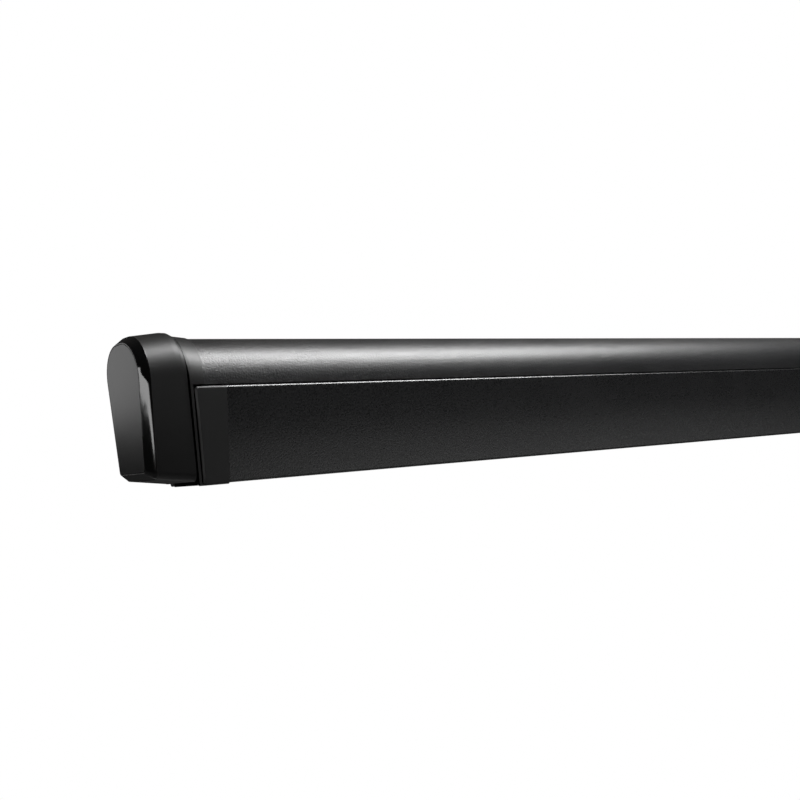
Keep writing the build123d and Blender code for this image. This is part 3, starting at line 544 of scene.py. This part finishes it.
print("ends lean", END_SLOPE, "outward for each unit of height")

# %% Roll of the bevel
ROLL_START, ROLL_END = 0.0854, 0.08
ROLL_POWER = 4.0
TOP_LIMITS = (0.0235, 0.0385)
TOP_WIDENING = 0.0049


def rolled_height(tree, outward):
    """Height of the bevel: flat outside, then falling faster and faster, and last in a straight line."""
    place = tree.nodes.new("ShaderNodeSeparateXYZ")
    tree.links.new(own_place(tree), place.inputs["Vector"])
    wider = math_node(tree, "MULTIPLY", spread(tree, place.outputs["Z"], *TOP_LIMITS), TOP_WIDENING)
    over = math_node(tree, "ADD", math_node(tree, "SUBTRACT", ROLL_START, outward), wider)
    over = math_node(tree, "MAXIMUM", math_node(tree, "DIVIDE", over, ROLL_START - ROLL_END), 0.0)
    curved = math_node(tree, "POWER", math_node(tree, "MINIMUM", over, 1.0), ROLL_POWER)
    past = math_node(tree, "MAXIMUM", math_node(tree, "SUBTRACT", over, 1.0), 0.0)
    straight = math_node(tree, "MULTIPLY", past, ROLL_POWER)
    return math_node(tree, "SUBTRACT", 1.0, math_node(tree, "ADD", curved, straight))


print("bevel rolls off over", round((ROLL_START - ROLL_END) * 1000, 1), "mm")

# %% Polish the bevel
BEVEL_OUT = 0.0801
BEVEL_FADE = 0.0006
POLISHED_ROUGHNESS = 0.08
POLISHED_GRAIN = 0.02
ROLL_DROP = 0.00023


def polish_bevel(material):
    """Makes what lies outboard of the cap's bevel edge glossy, rolling off softly towards that edge."""
    tree = material.node_tree
    shader = tree.nodes["Principled BSDF"]
    outward = outward_from_rail(tree)
    mask = spread(tree, outward, BEVEL_OUT - BEVEL_FADE, BEVEL_OUT)
    gloss = tree.nodes.new("ShaderNodeMix")
    tree.links.new(mask, gloss.inputs["Factor"])
    tree.links.new(shader.inputs["Roughness"].links[0].from_socket, gloss.inputs["A"])
    gloss.inputs["B"].default_value = POLISHED_ROUGHNESS
    tree.links.new(gloss.outputs["Result"], shader.inputs["Roughness"])
    bump = shader.inputs["Normal"].links[0].from_node
    tree.links.new(value_between(tree, mask, 1.0, POLISHED_GRAIN), bump.inputs["Strength"])
    roll = tree.nodes.new("ShaderNodeBump")
    roll.inputs["Distance"].default_value = ROLL_DROP
    tree.links.new(rolled_height(tree, outward), roll.inputs["Height"])
    tree.links.new(mask, roll.inputs["Strength"])
    tree.links.new(bump.outputs["Normal"], roll.inputs["Normal"])
    tree.links.new(roll.outputs["Normal"], shader.inputs["Normal"])


polish_bevel(gloss_plastic)
print(gloss_plastic.name, "polished from", BEVEL_OUT, "m outward")

# %% Paint the seam shadow
SEAM_MIDDLE = 0.0403
SEAM_SHADOW_HALF_WIDTH = 0.0008
SEAM_FADE = 0.0005
SHADOW_BLACK = (0.0, 0.0, 0.0)


def paint_seam_shadow(material):
    """Paints a shadow: blackens a hair's breadth on both sides of the cap's seam, where the joint
    swallows the light.
    """
    tree = material.node_tree
    shader = tree.nodes["Principled BSDF"]
    away = math_node(tree, "SUBTRACT", outward_from_rail(tree), SEAM_MIDDLE)
    away = math_node(tree, "ABSOLUTE", away)
    # Painted shadow: near the seam the colour goes black and fully metallic, so that it reflects nothing.
    seam_shadow = math_node(tree, "SUBTRACT", 1.0, spread(tree, away, SEAM_SHADOW_HALF_WIDTH, SEAM_SHADOW_HALF_WIDTH + SEAM_FADE))
    colour = shader.inputs["Base Color"].links[0].from_socket
    tree.links.new(blend_colour(tree, seam_shadow, colour, SHADOW_BLACK), shader.inputs["Base Color"])
    tree.links.new(seam_shadow, shader.inputs["Metallic"])


# On both plastics the dark line along the seam is painted shadow.
for plastic in (plate_plastic, gloss_plastic):
    paint_seam_shadow(plastic)
    print(plastic.name, "has a dark seam", SEAM_MIDDLE, "m outward")

# %% [markdown]
# ### Metal parts
# Arms and legs are anodised aluminium, drawn through a die, so their grain is fine and even. The
# arm ends are painted castings, coarser and thicker at the edges. Pins, screws and the crank are
# bright zinc over steel. Bare metals are set to fully metallic, which tints the reflection with the
# base colour. Paint isn't, since what the eye meets is the paint.

# %% Metals
aluminium = finish(
    "aluminium", (0.26, 0.265, 0.27), (0.33, 0.335, 0.34), (0.6, 0.6, 0.6), (0.28, 0.4),
    grains=1400.0, relief=0.00003, Metallic=1.0,
)
steel = finish(
    "steel", (0.5, 0.5, 0.52), (0.62, 0.62, 0.62), (0.75, 0.74, 0.72), (0.2, 0.36),
    grains=700.0, relief=0.00003, edge=0.0004, Metallic=1.0,
)
cast_alloy = finish(
    "cast_alloy", (0.055, 0.056, 0.06), (0.08, 0.081, 0.086), (0.35, 0.35, 0.35), (0.42, 0.58),
    grains=500.0, relief=0.00025, edge=0.0012,
)
print("metal finishes:", aluminium.name, steel.name, cast_alloy.name)

# %% [markdown]
# ### Canopy cloth
# The canopy is coated polyester: a plain weave that shows through a thin coat, with a soft sheen at
# a low angle. Yarns modelled one by one would be far too many, so two crossed waves, multiplied,
# give the weave's height, and a slow noise lets the grey fade a little from place to place.

# %% Canopy cloth
CLOTH_SHEEN = 0.2
CLOTH_DUST = 0.04
YARN_RELIEF = 0.0001
CLOTH_GREYS = ((0.16, 0.165, 0.17), (0.182, 0.186, 0.19))
CLOTH_ROUGHNESS = (0.75, 0.6)


def build_cloth():
    """Coated polyester: plain weave under a thin coat, a little soft sheen."""
    material = bpy.data.materials.new("canopy")
    material.use_nodes = True
    tree = material.node_tree
    shader = tree.nodes["Principled BSDF"]
    shader.inputs["Sheen Weight"].default_value = CLOTH_SHEEN
    weave = place_group(tree, weave_group)
    film = place_group(tree, dust_group, Amount=CLOTH_DUST)
    colour = blend_colour(tree, weave.outputs["Tone"], *CLOTH_GREYS)
    colour = blend_colour(tree, film.outputs["Mask"], colour, DUST)
    tree.links.new(colour, shader.inputs["Base Color"])
    rough = value_between(tree, weave.outputs["Height"], *CLOTH_ROUGHNESS)
    tree.links.new(rough, shader.inputs["Roughness"])
    bump = tree.nodes.new("ShaderNodeBump")
    bump.inputs["Distance"].default_value = YARN_RELIEF
    tree.links.new(weave.outputs["Height"], bump.inputs["Height"])
    tree.links.new(bump.outputs["Normal"], shader.inputs["Normal"])
    return material


canopy_cloth = build_cloth()
print("cloth:", canopy_cloth.name)

# %% [markdown]
# ## Dressing the frame
# The record says which material slot each part belongs to, so one loop hands out the finishes. Five
# parts have finishes of their own: the lead rail with its smoother coat, the end plates with a painted
# shadow along the seam, and the flat side faces, which are satin where the cap around them is polished.

# %% Hand out the finishes
slot_finishes = {
    "powder_coat": powder_coat,
    "gloss_plastic": gloss_plastic,
    "satin_plastic": satin_plastic,
    "bracket_coat": bracket_coat,
    "rubber": rubber,
    "aluminium": aluminium,
    "steel": steel,
    "cast_alloy": cast_alloy,
    "canopy": canopy_cloth,
}
own_finishes = {
    "lead_rail": rail_coat,
    "end_plate_left": plate_plastic,
    "end_plate_right": plate_plastic,
    "side_panel_left": side_face,
    "side_panel_right": side_face,
}
worn_finishes = set()
for part in frame["record"]["subparts"]:
    coat = own_finishes.get(part["node"], slot_finishes[part["material_slot"]])
    node = nodes[part["node"]]
    node.data.materials.clear()
    node.data.materials.append(coat)
    worn_finishes.add(coat.name)
print(len(nodes), "parts dressed in", len(worn_finishes), "finishes")

# %% [markdown]
# ## The canopy
# The real canopy is one coated cloth, wound on the roller and hooked into the lead rail by a rod in
# its hem. A closed solid can't show that, so both stand-ins are replaced by thin sheets: a spiral of
# real turns on the roller, and the short strip from the roll to the rail. A cloth simulation would
# only find the same taut shapes, so the points are computed. The strip has many rows, because it is
# drawn out into the whole roof when the arms open.

# %% Places of the roll and the groove
CLOTH_THICKNESS = 0.00055

roll_low, roll_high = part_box("wound_canopy")
tube_low, tube_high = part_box("roller_tube")
rod_low, rod_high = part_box("rail_keder_rod")
strip_low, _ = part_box("canopy_leader")
cloth_width = roll_high.x - roll_low.x
roll_axis = (roll_low + roll_high) / 2
groove = Vector((0, strip_low.y, (rod_low.z + rod_high.z) / 2))
outer_radius = (roll_high.z - roll_low.z) / 2 + CLOTH_THICKNESS
inner_radius = (tube_high.y - tube_low.y) / 2 + CLOTH_THICKNESS
to_groove = math.atan2(groove.z - roll_axis.z, roll_axis.y - groove.y)
distance = math.hypot(groove.z - roll_axis.z, groove.y - roll_axis.y)
touch_angle = to_groove - math.acos(outer_radius / distance)
print("cloth leaves the roll", round(-math.degrees(touch_angle), 1), "degrees below level")


# %% Sheets from rows of points
def sheet_mesh(name, rows, columns):
    """Cloth from rows of (y, z) points, drawn along the awning; returns it and its flat size."""
    mesh = bpy.data.meshes.new(name)
    xs = [roll_low.x + cloth_width * c / columns for c in range(columns + 1)]
    points = [(x, y, z) for y, z in rows for x in xs]
    wide = columns + 1
    quads = [
        (r * wide + c, r * wide + c + 1, (r + 1) * wide + c + 1, (r + 1) * wide + c)
        for r in range(len(rows) - 1)
        for c in range(columns)
    ]
    mesh.from_pydata(points, [], quads)
    mesh.polygons.foreach_set("use_smooth", [True] * len(quads))
    piece = bpy.data.objects.new(name, mesh)
    bpy.context.scene.collection.objects.link(piece)
    mesh.materials.append(canopy_cloth)
    length = sum(math.dist(a, b) for a, b in zip(rows, rows[1:]))
    print(name, "is", round(cloth_width, 3), "by", round(length, 4), "m")
    return piece, (cloth_width, length)


def around_roll(radius, angle):
    """(y, z) at a radius and angle; 0 points away from the wall."""
    return roll_axis.y - radius * math.cos(angle), roll_axis.z + radius * math.sin(angle)


print("sheet helpers ready")

# %% Wound cloth
TURNS = 14
STEPS_PER_TURN = 40
WOUND_COLUMNS = 6

steps = TURNS * STEPS_PER_TURN
spiral = [
    around_roll(
        inner_radius + (outer_radius - inner_radius) * step / steps,
        touch_angle - (steps - step) * 2 * math.pi / STEPS_PER_TURN,
    )
    for step in range(steps + 1)
]
wound_cloth, cut = sheet_mesh("wound_cloth", spiral, WOUND_COLUMNS)
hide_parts("wound_canopy")
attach(wound_cloth, "roller")

# %% Strip to the rail
STRIP_ROWS = 40
STRIP_COLUMNS = 48

touch = around_roll(outer_radius, touch_angle)
strip = [
    (
        touch[0] + (groove.y - touch[0]) * row / STRIP_ROWS,
        touch[1] + (groove.z - touch[1]) * row / STRIP_ROWS,
    )
    for row in range(STRIP_ROWS + 1)
]
front_strip, cut = sheet_mesh("front_strip", strip, STRIP_COLUMNS)
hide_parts("canopy_leader")
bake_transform(front_strip)
